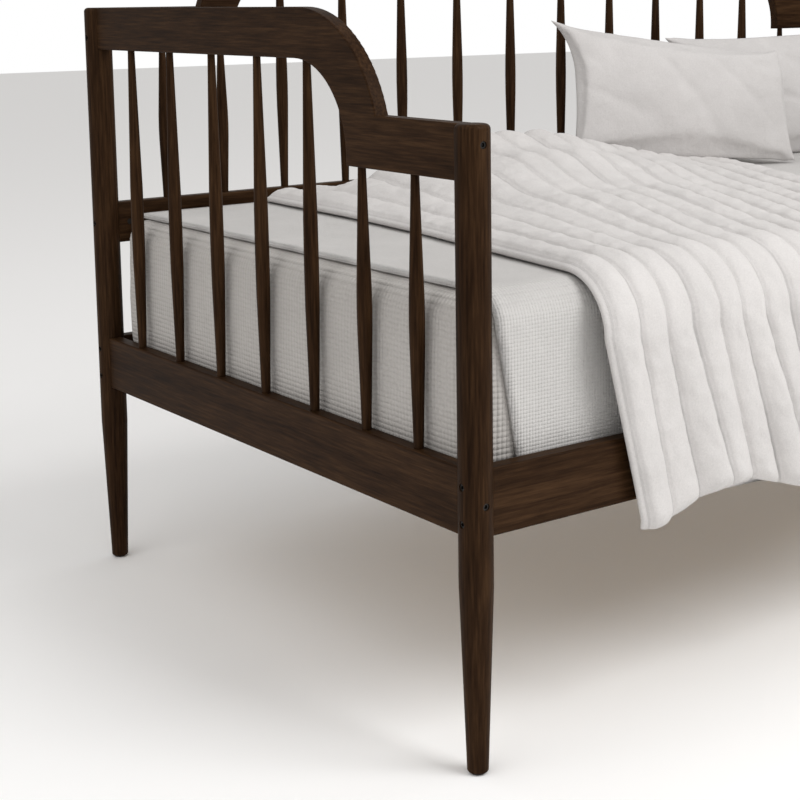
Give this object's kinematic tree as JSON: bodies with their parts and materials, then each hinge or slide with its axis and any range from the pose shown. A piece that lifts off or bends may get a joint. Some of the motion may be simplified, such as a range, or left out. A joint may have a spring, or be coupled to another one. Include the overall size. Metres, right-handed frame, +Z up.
{
  "type": "spindle daybed",
  "caption": "Dark wooden daybed with stepped, curved arms and back, turned spindles and round tapered legs, with a mattress, covers and pillows.",
  "frame": {"origin": "on the floor, midway between the four feet", "axes": "+X along the bed to the right as seen from its open front, +Y from the front to the back, +Z up"},
  "size_m": [1.995, 1.116, 1.117],
  "materials": {
    "dark_wood": "satin walnut-brown stain with fine grain",
    "slat_wood": "plain unfinished softwood",
    "bolt_steel": "black oxide",
    "glide_nylon": "matte",
    "strap_webbing": "woven tape",
    "mattress_cotton": "ribbed cotton fitted sheet",
    "coverlet_cotton": "waffle-weave cotton",
    "quilt_cotton": "channel-quilted cotton",
    "pillow_linen": "washed linen"
  },
  "bodies": {
    "frame": {"front_left_post": "dark_wood", "front_right_post": "dark_wood", "back_left_post": "dark_wood", "back_right_post": "dark_wood", "left_arm_board": "dark_wood", "left_side_rail": "dark_wood", "right_arm_board": "dark_wood", "right_side_rail": "dark_wood", "front_rail": "dark_wood", "back_base_rail": "dark_wood", "back_lower_rail": "dark_wood", "back_top_rail": "dark_wood", "left_arm_spindle_1": "dark_wood", "left_arm_spindle_2": "dark_wood", "left_arm_spindle_3": "dark_wood", "left_arm_spindle_4": "dark_wood", "left_arm_spindle_5": "dark_wood", "left_arm_spindle_6": "dark_wood", "left_arm_spindle_7": "dark_wood", "right_arm_spindle_1": "dark_wood", "right_arm_spindle_2": "dark_wood", "right_arm_spindle_3": "dark_wood", "right_arm_spindle_4": "dark_wood", "right_arm_spindle_5": "dark_wood", "right_arm_spindle_6": "dark_wood", "right_arm_spindle_7": "dark_wood", "back_spindle_1": "dark_wood", "back_spindle_2": "dark_wood", "back_spindle_3": "dark_wood", "back_spindle_4": "dark_wood", "back_spindle_5": "dark_wood", "back_spindle_6": "dark_wood", "back_spindle_7": "dark_wood", "back_spindle_8": "dark_wood", "back_spindle_9": "dark_wood", "back_spindle_10": "dark_wood", "back_spindle_11": "dark_wood", "back_spindle_12": "dark_wood", "back_spindle_13": "dark_wood", "back_spindle_14": "dark_wood", "front_slat_cleat": "slat_wood", "back_slat_cleat": "slat_wood", "bed_slats": "slat_wood", "joint_bolts": "bolt_steel", "barrel_nuts": "bolt_steel", "cleat_screws": "bolt_steel", "foot_glides": "glide_nylon", "slat_straps": "strap_webbing"},
    "mattress": {"mattress": "mattress_cotton"},
    "covers": {"coverlet": "coverlet_cotton", "quilt": "quilt_cotton"},
    "rear_pillow": {"rear_pillow": "pillow_linen"},
    "front_pillow": {"front_pillow": "pillow_linen"}
  },
  "joints": [
    {"name": "mattress_lift", "type": "slide", "parent": "frame", "child": "mattress", "axis": [0, 0, 1], "range_m": [0, 0.3]},
    {"name": "covers_lift", "type": "slide", "parent": "mattress", "child": "covers", "axis": [0, 0, 1], "range_m": [0, 0.25]},
    {"name": "rear_pillow_lift", "type": "slide", "parent": "covers", "child": "rear_pillow", "axis": [0, 0, 1], "range_m": [0, 0.3]},
    {"name": "front_pillow_lift", "type": "slide", "parent": "rear_pillow", "child": "front_pillow", "axis": [0, 0, 1], "range_m": [0, 0.3]}
  ]
}
